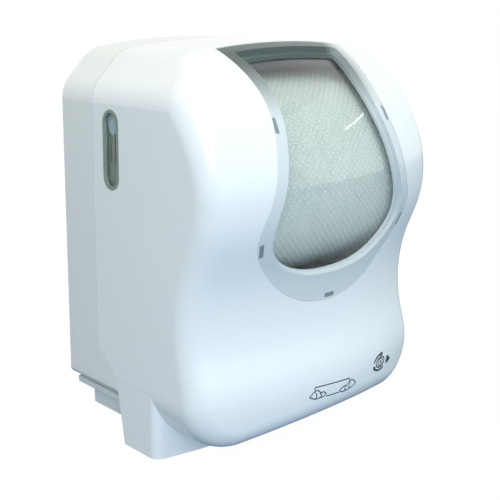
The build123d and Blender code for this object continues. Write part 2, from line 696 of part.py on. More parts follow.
with BuildPart() as lock_barrel:
    add(rod(BARREL_R, LOCK_INNER, LOCK_NOSE, LOCK))
    add(rod(SCREW_R, LOCK_INNER, LOCK_INNER + LOCK_LENGTH / 2, LOCK), mode=Mode.SUBTRACT)
    key_y = (LOCK[0] - KEY_SLOT / 2, LOCK[0] + KEY_SLOT / 2)
    add(slab((LOCK_NOSE - WALL, LOCK_NOSE), key_y, (LOCK[1] - WALL, LOCK[1] + WALL)), mode=Mode.SUBTRACT)
lock_barrel.part.label = "lock_barrel"
export_step(lock_barrel.part, "parts/lock_barrel.step")

HOOK_INNER = STRIKE_REACH + STRIKE_R + STRIKE_CLEAR
HOOK_OUTER = HOOK_INNER + HOOK_WIDTH
ARM_TURN = HOOK_ARC[1] - HOOK_ARM_LEAD

with BuildPart() as lock_cam:
    with BuildSketch(Plane.YZ.offset(CAM_SPAN[0])):
        with Locations(LOCK):
            Circle(HOOK_OUTER)
            Circle(HOOK_INNER, mode=Mode.SUBTRACT)
        with BuildLine():
            sweep = [radians(angle) for angle in HOOK_ARC]
            far = 2 * HOOK_OUTER
            Polyline(
                LOCK,
                (LOCK[0] + far * cos(sweep[0]), LOCK[1] + far * sin(sweep[0])),
                (LOCK[0] + far * cos(sweep[1]), LOCK[1] + far * sin(sweep[1])),
                close=True,
            )
        make_face(mode=Mode.INTERSECT)
        with Locations(LOCK):
            Circle(CAM_HUB_R)
        with Locations(Location((LOCK[0], LOCK[1], 0), (0, 0, ARM_TURN))):
            with Locations((HOOK_INNER / 2, 0)):
                Rectangle(HOOK_INNER + HOOK_WIDTH / 2, HOOK_WIDTH)
        with Locations(LOCK):
            Circle(SCREW_R, mode=Mode.SUBTRACT)
    extrude(amount=CAM_THICK)
lock_cam.part.label = "lock_cam"
export_step(lock_cam.part, "parts/lock_cam.step")

with BuildPart() as lock_screw:
    add(rod(SCREW_R, CAM_SPAN[0], LOCK_INNER + LOCK_LENGTH / 2, LOCK))
    add(rod(CAM_SCREW_R, CAM_SPAN[0] - SCREW_HEAD, CAM_SPAN[0], LOCK))
lock_screw.part.label = "lock_screw"
export_step(lock_screw.part, "parts/lock_screw.step")

# ------------------------------------------------------------------ chassis
WEB_R = DRUM_R + GRIP_THICK + WEB_GAP + WEB_THICK / 2  # middle of the paper round the drum
WEB_ROLL_R = ROLL_R + WEB_GAP + WEB_THICK / 2  # middle of the paper where it leaves the roll
ROLL_TO_DRUM = atan2(DRUM[1] - ROLL[1], DRUM[0] - ROLL[0])
FEED_TURN = ROLL_TO_DRUM + acos((WEB_ROLL_R - WEB_R) / hypot(DRUM[0] - ROLL[0], DRUM[1] - ROLL[1]))
END_RUN = (WEB_END[0] - DRUM[0], WEB_END[1] - DRUM[1])
EXIT_TURN = atan2(END_RUN[1], END_RUN[0]) + acos(WEB_R / hypot(*END_RUN))


def around(centre, radius, turn):
    """Point at a radius and a turn, in radians from +Y, round a centre given as (Y, Z)."""
    return (centre[0] + radius * cos(turn), centre[1] + radius * sin(turn))


WEB_EXIT = around(DRUM, WEB_R, EXIT_TURN)
EXIT_HEADING = EXIT_TURN - pi / 2
PINCH = around(DRUM, WEB_R + WEB_THICK / 2 + WEB_GAP + PINCH_R, radians(PINCH_ANGLE))

SIDE_PROFILE = [
    (-WALL, PLATE_TOP_Z), (-120.0, PLATE_TOP_Z), (PLATE_FRONT_Y, PLATE_TOP_Z - 20.0), (PLATE_FRONT_Y, -96.0),
    (PLATE_TOE_Y, -112.0), (PLATE_TOE_Y, -150.0), (-124.0, SKIRT_Z - WALL), (-100.0, SKIRT_Z - WALL),
    (-92.0, SKIRT_Z), (-31.0, SKIRT_Z), (-31.0, RAIL_Z[0]),
    (RAIL_Y[1], RAIL_Z[0]), (RAIL_Y[1], HOUSING_Z), (-WALL, HOUSING_Z),
]


def chassis_side():
    """Right side plate with its rail, hinge boss and bearing holes."""
    boss_span = (HINGE_BOSS_INNER, CHASSIS_OUTER)
    with BuildPart() as plate:
        add(side_panel(SIDE_PROFILE, CHASSIS_INNER, CHASSIS_OUTER))
        add(slab((CHASSIS_INNER, CHASSIS_OUTER + CHASSIS_STEP), RAIL_Y, RAIL_Z))
        add(rod(HINGE_BOSS_R, *boss_span, HINGE))
        add(rod(HINGE_PIN_R, *boss_span, HINGE), mode=Mode.SUBTRACT)
        holes = ((BUSH_R, DRUM), (PINCH_ROD_R, PINCH_ROD), (TRANSFER_PIN_R + RUN_GAP, TRANSFER_PIVOT))
        for radius, at in holes:
            add(rod(radius, CHASSIS_INNER, CHASSIS_OUTER, at), mode=Mode.SUBTRACT)
    return plate.part


with BuildPart() as chassis_side_right:
    add(chassis_side())
    add(rod(PAWL_PIN_R, CHASSIS_INNER, CHASSIS_OUTER, PAWL_PIVOT), mode=Mode.SUBTRACT)
chassis_side_right.part.label = "chassis_side_right"
export_step(chassis_side_right.part, "parts/chassis_side_right.step")

with BuildPart() as chassis_side_left:
    add(mirror(chassis_side(), about=Plane.YZ, mode=Mode.PRIVATE))
chassis_side_left.part.label = "chassis_side_left"
export_step(chassis_side_left.part, "parts/chassis_side_left.step")

PLATE_FACE = WALL + CHASSIS_BACK
SCREW_COLUMNS = (-SCREW_GRID[0] / 2, SCREW_GRID[0] / 2)
SCREW_ROWS = (SCREW_MID_Z - SCREW_GRID[1] / 2, SCREW_MID_Z + SCREW_GRID[1] / 2)
SCREW_PLACES = [(x, z) for x in SCREW_COLUMNS for z in SCREW_ROWS]

with BuildPart() as chassis_back:
    add(slab((-CHASSIS_INNER, CHASSIS_INNER), (-PLATE_FACE, -WALL), BACK_PLATE_Z))
    for side in (-1, 1):
        boss_hole = peg(MOUNT_BOSS_R + SWING_GAP, (side * MOUNT_X / 2, -MOUNT_Z / 2), (WALL, PLATE_FACE))
        add(boss_hole, mode=Mode.SUBTRACT)
    for at in SCREW_PLACES:
        add(peg(SCREW_R, at, (WALL, PLATE_FACE)), mode=Mode.SUBTRACT)
chassis_back.part.label = "chassis_back"
export_step(chassis_back.part, "parts/chassis_back.step")

with BuildPart() as chassis_screws:
    for at in SCREW_PLACES:
        add(peg(SCREW_R, at, (WALL / 2, PLATE_FACE)))
        add(peg(SCREW_HEAD_R, at, (PLATE_FACE, PLATE_FACE + SCREW_HEAD)))
chassis_screws.part.label = "chassis_screws"
export_step(chassis_screws.part, "parts/chassis_screws.step")

with BuildPart() as hinge_pins:
    for side in (-1, 1):
        add(rod(HINGE_PIN_R, side * HINGE_BOSS_INNER, side * (hinge_wall - WALL / 2), HINGE))
hinge_pins.part.label = "hinge_pins"
export_step(hinge_pins.part, "parts/hinge_pins.step")

with BuildPart() as drum_bearings:
    for side in (-1, 1):
        add(rod(BUSH_R, side * CHASSIS_INNER, side * CHASSIS_OUTER, DRUM, bore=SHAFT_R + RUN_GAP))
        flange_span = (side * (CHASSIS_INNER - BUSH_FLANGE), side * CHASSIS_INNER)
        add(rod(BUSH_FLANGE_R, *flange_span, DRUM, bore=SHAFT_R + RUN_GAP))
drum_bearings.part.label = "drum_bearings"
export_step(drum_bearings.part, "parts/drum_bearings.step")

with BuildPart() as chute_lower:
    below = (CHUTE_GAP, CHUTE_GAP + CHUTE_THICK)
    add(strip_panel(WEB_EXIT, EXIT_HEADING, CHUTE_LOWER, below, (-CHUTE_HALF, CHUTE_HALF)))
    wing = (CHUTE_WING, CHUTE_LOWER[1])
    add(strip_panel(WEB_EXIT, EXIT_HEADING, wing, below, (-CHASSIS_INNER, CHASSIS_INNER)))
chute_lower.part.label = "chute_lower"
export_step(chute_lower.part, "parts/chute_lower.step")

with BuildPart() as chute_upper:
    above = (-CHUTE_GAP - CHUTE_THICK, -CHUTE_GAP)
    add(strip_panel(WEB_EXIT, EXIT_HEADING, CHUTE_UPPER, above, (-CHASSIS_INNER, CHASSIS_INNER)))
chute_upper.part.label = "chute_upper"
export_step(chute_upper.part, "parts/chute_upper.step")

with BuildPart() as paper_web:
    with BuildSketch(Plane.YZ):
        with BuildLine():
            Line(around(ROLL, WEB_ROLL_R, FEED_TURN), around(DRUM, WEB_R, FEED_TURN))
            CenterArc(DRUM, WEB_R, degrees(FEED_TURN), degrees(EXIT_TURN - FEED_TURN))
            Line(WEB_EXIT, WEB_END)
        trace(line_width=WEB_THICK)
    extrude(amount=WEB_HALF, both=True)
paper_web.part.label = "paper_web"
export_step(paper_web.part, "parts/paper_web.step")

# ------------------------------------------------------------------ drum, knife and hand wheel
def slot_block():
    """The space cut along the top of the drum for the knife."""
    y_span = (DRUM[0] + SLOT[0], DRUM[0] + SLOT[1])
    return slab((-SLOT_HALF, SLOT_HALF), y_span, (DRUM[1] + DRUM_R / 2, DRUM[1] + DRUM_R + 2 * GRIP_THICK))


SHELL_HALF = DRUM_HALF - DRUM_END
SHELL_BORE = DRUM_R - DRUM_WALL
SHELL = rod(DRUM_R, -SHELL_HALF, SHELL_HALF, DRUM, bore=SHELL_BORE)
UPPER = slab((-SHELL_HALF, SHELL_HALF), (DRUM[0] - DRUM_R, DRUM[0] + DRUM_R), (DRUM[1], DRUM[1] + DRUM_R))

with BuildPart() as drum_shell_upper:
    add(SHELL)
    add(UPPER, mode=Mode.INTERSECT)
    add(slot_block(), mode=Mode.SUBTRACT)
drum_shell_upper.part.label = "drum_shell_upper"
export_step(drum_shell_upper.part, "parts/drum_shell_upper.step")

with BuildPart() as drum_shell_lower:
    add(SHELL)
    add(UPPER, mode=Mode.SUBTRACT)
drum_shell_lower.part.label = "drum_shell_lower"
export_step(drum_shell_lower.part, "parts/drum_shell_lower.step")

with BuildPart() as grip_bands:
    for index in range(GRIP_COUNT):
        middle = (index - (GRIP_COUNT - 1) / 2) * GRIP_PITCH
        band_span = (middle - GRIP_WIDTH / 2, middle + GRIP_WIDTH / 2)
        add(rod(DRUM_R + GRIP_THICK, *band_span, DRUM, bore=DRUM_R))
    add(slot_block(), mode=Mode.SUBTRACT)
grip_bands.part.label = "grip_bands"
export_step(grip_bands.part, "parts/grip_bands.step")

KNIFE_AT = (DRUM[0] + KNIFE[0], DRUM[1] + KNIFE[1])
KNIFE_HALF = SHELL_HALF - SWING_GAP
FOLLOWER_AT = (DRUM[0], DRUM[1] + FOLLOWER_ORBIT)
CRANK_RUN = hypot(FOLLOWER_AT[0] - KNIFE_AT[0], FOLLOWER_AT[1] - KNIFE_AT[1])
CRANK_HEADING = atan2(FOLLOWER_AT[1] - KNIFE_AT[1], FOLLOWER_AT[0] - KNIFE_AT[0])

with BuildPart() as drum_ends:
    for side in (-1, 1):
        add(rod(DRUM_R, side * SHELL_HALF, side * DRUM_HALF, DRUM, bore=SHAFT_R))
        bore_span = (side * SHELL_HALF, side * DRUM_HALF)
        add(rod(KNIFE_PIN_R + RUN_GAP, *bore_span, KNIFE_AT), mode=Mode.SUBTRACT)
drum_ends.part.label = "drum_ends"
export_step(drum_ends.part, "parts/drum_ends.step")

with BuildPart() as drum_shaft:
    add(rod(SHAFT_R, -CHASSIS_OUTER + RUN_GAP, CHASSIS_OUTER - RUN_GAP, DRUM))
drum_shaft.part.label = "drum_shaft"
export_step(drum_shaft.part, "parts/drum_shaft.step")

with BuildPart() as knife_carrier:
    add(rod(KNIFE_BARREL_R, -KNIFE_HALF, KNIFE_HALF, KNIFE_AT))
    add(rod(KNIFE_PIN_R, CRANK_X[0], DRUM_HALF, KNIFE_AT))
    holder = (-HOLDER_THICK / 2, HOLDER_THICK / 2)
    heading = radians(KNIFE_LEAN)
    holder_span = (KNIFE_END - SLOT_HALF, SLOT_HALF - KNIFE_END)
    add(strip_panel(KNIFE_AT, heading, (0, HOLDER_REACH), holder, holder_span))
    add(rod(CRANK_HUB_R, *CRANK_X, KNIFE_AT))
    add(strip_panel(KNIFE_AT, CRANK_HEADING, (0, CRANK_RUN), (-FOLLOWER_R, FOLLOWER_R), CRANK_X))
    add(rod(FOLLOWER_R, CRANK_X[0] - CAM_X_GAP - FOLLOWER_LENGTH, CRANK_X[1], FOLLOWER_AT))
knife_carrier.part.label = "knife_carrier"
export_step(knife_carrier.part, "parts/knife_carrier.step")

with BuildPart() as knife_blade:
    under = (-HOLDER_THICK / 2 - BLADE_THICK, -HOLDER_THICK / 2)
    blade_run = (HOLDER_REACH / 2, KNIFE_REACH)
    add(strip_panel(KNIFE_AT, heading, blade_run, under, (-SLOT_HALF + WALL, SLOT_HALF - WALL)))
knife_blade.part.label = "knife_blade"
export_step(knife_blade.part, "parts/knife_blade.step")

CAM_FACE = CRANK_X[0] - CAM_X_GAP
CAM_REAR = CAM_FACE - KNIFE_CAM_THICK
CAM_BASE_R = FOLLOWER_ORBIT - FOLLOWER_R - FIT_GAP

with BuildPart() as knife_cam:
    add(rod(CAM_BASE_R, CAM_REAR, CAM_FACE, DRUM))
    lobe_at = around(DRUM, CAM_BASE_R + CAM_LIFT - CAM_LOBE_R, radians(CAM_LOBE_TURN))
    add(rod(CAM_LOBE_R, CAM_REAR, CAM_FACE, lobe_at))
    add(rod(BUSH_R, CAM_REAR, CAM_FACE, DRUM), mode=Mode.SUBTRACT)
knife_cam.part.label = "knife_cam"
export_step(knife_cam.part, "parts/knife_cam.step")

with BuildPart() as spring_cup:
    add(rod(SPRING_CUP_R, -CHASSIS_INNER, CAM_REAR, DRUM, bore=SPRING_CUP_R - SPRING_CUP_WALL))
spring_cup.part.label = "spring_cup"
export_step(spring_cup.part, "parts/spring_cup.step")

with BuildPart() as return_spring:
    cup_bore = SPRING_CUP_R - SPRING_CUP_WALL
    spring_span = (-CHASSIS_INNER + BUSH_FLANGE + SWING_GAP, CAM_REAR - SWING_GAP)
    add(rod(cup_bore, *spring_span, DRUM, bore=SHAFT_R + FIT_GAP))
return_spring.part.label = "return_spring"
export_step(return_spring.part, "parts/return_spring.step")

with BuildPart() as feed_wheel:
    add(rod(WHEEL_R, *WHEEL_X, DRUM, bore=SHAFT_R))
    web_face = WHEEL_X[0] + WALL
    add(rod(WHEEL_R - 2 * WALL, web_face, WHEEL_X[1], DRUM, bore=WHEEL_HUB_R), mode=Mode.SUBTRACT)
    with BuildSketch(Plane.YZ.offset(WHEEL_X[0])):
        with Locations(DRUM):
            with PolarLocations(WHEEL_R + WALL, RATCHET_TEETH):
                Circle(WALL + FLUTE_DEPTH)
    extrude(amount=WHEEL_X[1] - WHEEL_X[0], mode=Mode.SUBTRACT)
feed_wheel.part.label = "feed_wheel"
export_step(feed_wheel.part, "parts/feed_wheel.step")

PAWL_ARM_R = RATCHET_R + SWING_GAP + TOOTH_DEPTH + PAWL_HUB_R / 2  # lifted clear of the teeth
PAWL_TURN = atan2(PAWL_PIVOT[1] - DRUM[1], PAWL_PIVOT[0] - DRUM[0])
PAWL_TIP_TURN = PAWL_TURN + acos(PAWL_ARM_R / hypot(PAWL_PIVOT[0] - DRUM[0], PAWL_PIVOT[1] - DRUM[1]))
PAWL_RUN = PAWL_ARM_R * tan(PAWL_TIP_TURN - PAWL_TURN)

with BuildPart() as ratchet_wheel:
    with BuildSketch(Plane.YZ.offset(RATCHET_X[0])):
        with Locations(DRUM):
            Circle(RATCHET_R)
            with PolarLocations(RATCHET_R, RATCHET_TEETH, start_angle=degrees(PAWL_TIP_TURN)):
                Rectangle(2 * TOOTH_DEPTH, TOOTH_WIDTH, mode=Mode.SUBTRACT)
            Circle(SHAFT_R, mode=Mode.SUBTRACT)
    extrude(amount=RATCHET_X[1] - RATCHET_X[0])
ratchet_wheel.part.label = "ratchet_wheel"
export_step(ratchet_wheel.part, "parts/ratchet_wheel.step")

with BuildPart() as pawl_pin:
    add(rod(PAWL_PIN_R, RATCHET_X[0], CHASSIS_OUTER, PAWL_PIVOT))
pawl_pin.part.label = "pawl_pin"
export_step(pawl_pin.part, "parts/pawl_pin.step")

with BuildPart() as pawl:
    tip = around(DRUM, PAWL_ARM_R, PAWL_TIP_TURN)
    half = PAWL_HUB_R / 2
    add(rod(PAWL_HUB_R, *RATCHET_X, PAWL_PIVOT))
    add(strip_panel(tip, PAWL_TIP_TURN - pi / 2, (-half, PAWL_RUN), (-half, half), RATCHET_X))
    tooth = TOOTH_WIDTH / 2 - SWING_GAP
    add(strip_panel(tip, PAWL_TIP_TURN + pi, (0, half + TOOTH_DEPTH), (-tooth, tooth), RATCHET_X))
    add(rod(PAWL_PIN_R + RUN_GAP, *RATCHET_X, PAWL_PIVOT), mode=Mode.SUBTRACT)
pawl.part.label = "pawl"
export_step(pawl.part, "parts/pawl.step")

# ------------------------------------------------------------------ pinch rollers and transfer bar
PINCH_RUN = hypot(PINCH[0] - PINCH_ROD[0], PINCH[1] - PINCH_ROD[1])
PINCH_HEADING = atan2(PINCH[1] - PINCH_ROD[1], PINCH[0] - PINCH_ROD[0])
SPREADER = ((PINCH[0] + PINCH_ROD[0]) / 2, (PINCH[1] + PINCH_ROD[1]) / 2)

with BuildPart() as pinch_rod:
    add(rod(PINCH_ROD_R, -CHASSIS_OUTER, CHASSIS_OUTER, PINCH_ROD))
pinch_rod.part.label = "pinch_rod"
export_step(pinch_rod.part, "parts/pinch_rod.step")

with BuildPart() as pinch_coils:
    for side in (-1, 1):
        add(rod(COIL_R, side * COIL_X[0], side * COIL_X[1], PINCH_ROD, bore=PINCH_ROD_R + FIT_GAP))
pinch_coils.part.label = "pinch_coils"
export_step(pinch_coils.part, "parts/pinch_coils.step")

for side, hand in ((-1, "left"), (1, "right")):
    with BuildPart() as pinch_arm:
        span = (side * PINCH_ARM_X[0], side * PINCH_ARM_X[1])
        add(rod(PINCH_HUB_R, *span, PINCH_ROD))
        add(rod(PINCH_HUB_R, *span, PINCH))
        add(strip_panel(PINCH_ROD, PINCH_HEADING, (0, PINCH_RUN), (-PINCH_ARM_HALF, PINCH_ARM_HALF), span))
        add(rod(PINCH_ROD_R + RUN_GAP, *span, PINCH_ROD), mode=Mode.SUBTRACT)
        add(rod(PINCH_SHAFT_R + RUN_GAP, *span, PINCH), mode=Mode.SUBTRACT)
    pinch_arm.part.label = f"pinch_arm_{hand}"
    export_step(pinch_arm.part, f"parts/pinch_arm_{hand}.step")

with BuildPart() as pinch_spreader:
    add(rod(SPREADER_R, -PINCH_ARM_X[0], PINCH_ARM_X[0], SPREADER))
pinch_spreader.part.label = "pinch_spreader"
export_step(pinch_spreader.part, "parts/pinch_spreader.step")

with BuildPart() as pinch_shaft:
    add(rod(PINCH_SHAFT_R, -PINCH_ARM_X[1] - PINCH_SHAFT_END, PINCH_ARM_X[1] + PINCH_SHAFT_END, PINCH))
pinch_shaft.part.label = "pinch_shaft"
export_step(pinch_shaft.part, "parts/pinch_shaft.step")

with BuildPart() as pinch_rollers:
    for index in range(GRIP_COUNT):
        middle = (index - (GRIP_COUNT - 1) / 2) * GRIP_PITCH
        add(rod(PINCH_R, middle - PINCH_WIDTH / 2, middle + PINCH_WIDTH / 2, PINCH, bore=PINCH_SHAFT_R))
pinch_rollers.part.label = "pinch_rollers"
export_step(pinch_rollers.part, "parts/pinch_rollers.step")

TRANSFER_RUN = hypot(TRANSFER_BAR[0] - TRANSFER_PIVOT[0], TRANSFER_BAR[1] - TRANSFER_PIVOT[1])
TRANSFER_HEADING = atan2(TRANSFER_BAR[1] - TRANSFER_PIVOT[1], TRANSFER_BAR[0] - TRANSFER_PIVOT[0])

with BuildPart() as transfer_bar:
    add(rod(TRANSFER_PIN_R, -CHASSIS_OUTER, CHASSIS_OUTER, TRANSFER_PIVOT))
    add(rod(TRANSFER_R, -TRANSFER_ARM_X[1], TRANSFER_ARM_X[1], TRANSFER_BAR))
    for side in (-1, 1):
        span = (side * TRANSFER_ARM_X[0], side * TRANSFER_ARM_X[1])
        add(rod(TRANSFER_HUB_R, *span, TRANSFER_PIVOT))
        add(strip_panel(TRANSFER_PIVOT, TRANSFER_HEADING, (0, TRANSFER_RUN), (-TRANSFER_R, TRANSFER_R), span))
transfer_bar.part.label = "transfer_bar"
export_step(transfer_bar.part, "parts/transfer_bar.step")

# ------------------------------------------------------------------ towel roll and its arms
with BuildPart() as towel_roll:
    add(rod(ROLL_R, -ROLL_HALF, ROLL_HALF, ROLL, bore=CORE_R))
towel_roll.part.label = "towel_roll"
export_step(towel_roll.part, "parts/towel_roll.step")

with BuildPart() as roll_core:
    add(rod(CORE_R, -ROLL_HALF, ROLL_HALF, ROLL, bore=CORE_R - CORE_WALL))
roll_core.part.label = "roll_core"
export_step(roll_core.part, "parts/roll_core.step")

ARM_PLATE = (ARM_PIN[0] - ARM_THICK / 2, ARM_PIN[0] + ARM_THICK / 2)
HUB_OUTER = ARM_PLATE[0] - HUB_SIDE_GAP
HUB_FACE = HUB_OUTER - HUB_FLANGE
HUB_TIP = HUB_FACE - HUB_PLUG
ARM_PROFILE = [
    (ARM_PIN[1], ARM_Z[0]), (ARM_PIN[1], ARM_Z[1]), (ARM_PIN[1] - ARM_BARREL_R, ARM_Z[1]),
    (ARM_KNEE_Y, 108.0), (ROLL[0], ROLL[1] + ARM_HEAD_R), (ROLL[0], ROLL[1] - ARM_HEAD_R),
    (ARM_KNEE_Y, 44.0), (ARM_PIN[1] - ARM_BARREL_R, ARM_Z[0]),
]

for side, hand in ((-1, "left"), (1, "right")):
    with BuildPart() as roll_arm:
        span = (side * ARM_PLATE[0], side * ARM_PLATE[1])
        pin_at = (side * ARM_PIN[0], ARM_PIN[1])
        add(post(ARM_BARREL_R, pin_at, ARM_Z))
        add(side_panel(ARM_PROFILE, *span))
        add(rod(ARM_HEAD_R, *span, ROLL))
        add(post(ARM_PIN_R + RUN_GAP, pin_at, ARM_Z), mode=Mode.SUBTRACT)
        add(rod(HUB_AXLE_R, *span, ROLL), mode=Mode.SUBTRACT)
    roll_arm.part.label = f"roll_arm_{hand}"
    export_step(roll_arm.part, f"parts/roll_arm_{hand}.step")

    with BuildPart() as hub_axle:
        add(rod(HUB_AXLE_R, side * (HUB_TIP + WALL), side * ARM_PLATE[1], ROLL))
    hub_axle.part.label = f"hub_axle_{hand}"
    export_step(hub_axle.part, f"parts/hub_axle_{hand}.step")

    with BuildPart() as roll_hub:
        add(rod(HUB_FLANGE_R, side * HUB_FACE, side * HUB_OUTER, ROLL))
        with BuildSketch(Plane.YZ.offset(side * HUB_FACE)):
            with Locations(ROLL):
                Circle(HUB_PLUG_R)
        with BuildSketch(Plane.YZ.offset(side * HUB_TIP)):
            with Locations(ROLL):
                Circle(HUB_NOSE_R)
        loft()
        axle_bore = rod(HUB_AXLE_R + RUN_GAP, side * (HUB_TIP + WALL - FIT_GAP), side * HUB_OUTER, ROLL)
        add(axle_bore, mode=Mode.SUBTRACT)
    roll_hub.part.label = f"roll_hub_{hand}"
    export_step(roll_hub.part, f"parts/roll_hub_{hand}.step")
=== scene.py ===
from math import acos, atan2, cos, hypot, pi, radians, sin

import bmesh
import bpy
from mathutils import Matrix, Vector


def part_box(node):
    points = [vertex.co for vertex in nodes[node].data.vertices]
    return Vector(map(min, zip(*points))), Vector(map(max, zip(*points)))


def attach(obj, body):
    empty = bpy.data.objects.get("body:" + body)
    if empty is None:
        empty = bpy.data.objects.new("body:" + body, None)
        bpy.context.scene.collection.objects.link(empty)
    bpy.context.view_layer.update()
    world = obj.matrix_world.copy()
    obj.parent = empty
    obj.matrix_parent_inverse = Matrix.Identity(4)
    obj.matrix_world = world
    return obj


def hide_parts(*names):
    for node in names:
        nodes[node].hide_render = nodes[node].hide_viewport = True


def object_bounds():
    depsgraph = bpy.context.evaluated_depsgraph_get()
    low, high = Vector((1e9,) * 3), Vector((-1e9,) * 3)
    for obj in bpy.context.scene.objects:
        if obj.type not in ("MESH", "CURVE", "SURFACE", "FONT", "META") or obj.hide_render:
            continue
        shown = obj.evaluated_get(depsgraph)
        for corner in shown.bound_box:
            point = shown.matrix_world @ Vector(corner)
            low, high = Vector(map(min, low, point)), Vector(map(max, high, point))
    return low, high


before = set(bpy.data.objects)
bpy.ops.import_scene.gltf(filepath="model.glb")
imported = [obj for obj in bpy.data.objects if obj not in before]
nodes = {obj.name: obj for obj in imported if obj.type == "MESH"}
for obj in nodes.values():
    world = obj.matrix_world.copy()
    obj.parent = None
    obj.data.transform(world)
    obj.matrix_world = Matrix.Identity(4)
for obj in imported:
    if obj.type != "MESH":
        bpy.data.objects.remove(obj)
cad_box = [list(corner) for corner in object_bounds()]
bpy.ops.object.select_all(action="DESELECT")

# ---------------------------------------------------------------- the view
# The dispenser is seen from its left front and a little above, from about a metre away.
bpy.ops.object.camera_add(location=(-0.6106, -0.7457, 0.2175), rotation=(radians(75.25), 0, radians(-43.49)))
bpy.context.object.data.lens = 66.7
bpy.context.scene.camera = bpy.context.object
bpy.context.scene.view_settings.view_transform = "Standard"


# ---------------------------------------------------------------- the studio
# A pale floor under an even white sky. The key is a broad soft lamp high on the left, with a dim blue
# one below it, one overhead, a fill on the right, and a narrow tube whose line shows in the window.
def colour(code):
    """Linear colour of an sRGB hex code."""
    parts = [int(code[i:i + 2], 16) / 255 for i in (1, 3, 5)]
    return [c / 12.92 if c <= 0.04045 else ((c + 0.055) / 1.055) ** 2.4 for c in parts] + [1.0]


def add(tree, kind, settings=None, links=None):
    """Adds a node. Settings are its properties or the values of its sockets, and links feed its sockets."""
    node = tree.nodes.new(kind)
    for name, value in (settings or {}).items():
        if isinstance(name, str) and hasattr(node, name):
            setattr(node, name, value)
        else:
            node.inputs[name].default_value = value
    for name, socket in (links or {}).items():
        tree.links.new(socket, node.inputs[name])
    return node


def seen_rays(tree):
    """Two sockets: one is 1 for rays from the camera or through glass, the other for rays off a gloss."""
    path = add(tree, "ShaderNodeLightPath").outputs
    direct = add(tree, "ShaderNodeMath", {"operation": "MAXIMUM"},
                 {0: path["Is Camera Ray"], 1: path["Is Transmission Ray"]})
    return direct.outputs[0], path["Is Glossy Ray"]


world = bpy.data.worlds.new("even_sky")
bpy.context.scene.world = world
world.use_nodes = True
sky = world.node_tree
sky.nodes.clear()
ambient = add(sky, "ShaderNodeBackground", {"Color": colour("#f0f6ee"), "Strength": 0.58})
backdrop = add(sky, "ShaderNodeBackground", {"Color": colour("#ffffff"), "Strength": 1.0})
seen, mirrored = seen_rays(sky)
either = add(sky, "ShaderNodeMath", {"operation": "MAXIMUM"}, {0: seen, 1: mirrored})
sky_mix = add(sky, "ShaderNodeMixShader", None,
              {0: either.outputs[0], 1: ambient.outputs[0], 2: backdrop.outputs[0]})
add(sky, "ShaderNodeOutputWorld", None, {"Surface": sky_mix.outputs[0]})

FLOOR_SIZE = 12
FLOOR_DROP = 0.0005
bpy.ops.mesh.primitive_plane_add(size=FLOOR_SIZE, location=(0, 0, cad_box[0][2] - FLOOR_DROP))
floor = bpy.context.object
floor.name = "floor"
paint = bpy.data.materials.new("matt_white_floor")
paint.use_nodes = True
tree = paint.node_tree
tree.nodes.clear()
matt = add(tree, "ShaderNodeBsdfDiffuse", {"Color": colour("#75889e")})
lit = add(tree, "ShaderNodeEmission", {"Color": colour("#ffffff"), "Strength": 1.3})
seen = seen_rays(tree)[0]
share = add(tree, "ShaderNodeMath", {"operation": "MULTIPLY", 1: 0.75}, {0: seen})
floor_mix = add(tree, "ShaderNodeMixShader", None, {0: share.outputs[0], 1: matt.outputs[0], 2: lit.outputs[0]})
add(tree, "ShaderNodeOutputMaterial", None, {"Surface": floor_mix.outputs[0]})
floor.data.materials.append(paint)

LAMP_TARGET = Vector((0, -0.1, 0))
for name, place, width, height, power, tint, in_reflections in (
    ("key_softbox", (-1.4, -1.3, 1.25), 1.3, 1.3, 17.0, "#fffefa", True),
    ("overhead_softbox", (-0.4, -0.5, 1.8), 1.4, 1.4, 8.5, "#ffffff", True),
    ("right_fill", (1.7, -1.2, 0.8), 2.2, 1.8, 15.0, "#f6fff9", False),
    ("low_fill", (-0.7, -1.65, 0.1), 1.2, 0.4, 8.5, "#b4d6ff", False),
    ("tube", (1.3, -0.66, 0.75), 0.5, 0.015, 0.15, "#ffffff", True),
):
    bpy.ops.object.light_add(type="AREA", location=place)
    lamp = bpy.context.object
    lamp.name = name
    lamp.rotation_euler = (LAMP_TARGET - Vector(place)).to_track_quat("-Z", "Y").to_euler()
    lamp.data.shape = "RECTANGLE"
    lamp.data.size = width
    lamp.data.size_y = height
    lamp.data.energy = power
    lamp.data.color = colour(tint)[:3]
    lamp.visible_glossy = in_reflections


# ---------------------------------------------------------------- the fixed housing and the cover
# Both are injection moulded in white ABS. The cover is polished and reads as a smooth gloss with the
# faintest ripple; the housing behind it has a finer, duller skin.
def new_material(name):
    """A material with one Principled shader, and the Object coordinates that its patterns read."""
    made = bpy.data.materials.new(name)
    made.use_nodes = True
    places = add(made.node_tree, "ShaderNodeTexCoord").outputs["Object"]
    return made, made.node_tree, made.node_tree.nodes["Principled BSDF"], places


